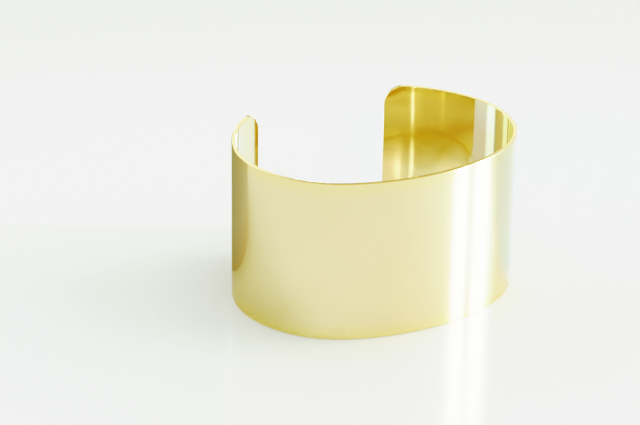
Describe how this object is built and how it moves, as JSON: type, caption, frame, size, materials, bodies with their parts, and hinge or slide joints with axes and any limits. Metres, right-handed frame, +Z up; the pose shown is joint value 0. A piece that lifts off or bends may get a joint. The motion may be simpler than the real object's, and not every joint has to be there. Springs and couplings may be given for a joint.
{
  "type": "cuff bracelet",
  "caption": "Wide plain polished brass cuff: a strip of sheet with rounded corners, bent to an open oval C that slips onto the wrist through the gap between its ends.",
  "frame": {"origin": "middle of the bounding box in plan, on the surface that the cuff stands on", "axes": "+X across the cuff, its widest way; +Y out through the opening between the ends; +Z up along the band's width, parallel to the wearer's forearm"},
  "size_m": [0.068, 0.0518, 0.0381],
  "materials": {
    "polished_brass": "polished, with very fine rubbing marks"
  },
  "bodies": {
    "root": {"cuff_band": "polished_brass"}
  },
  "joints": []
}
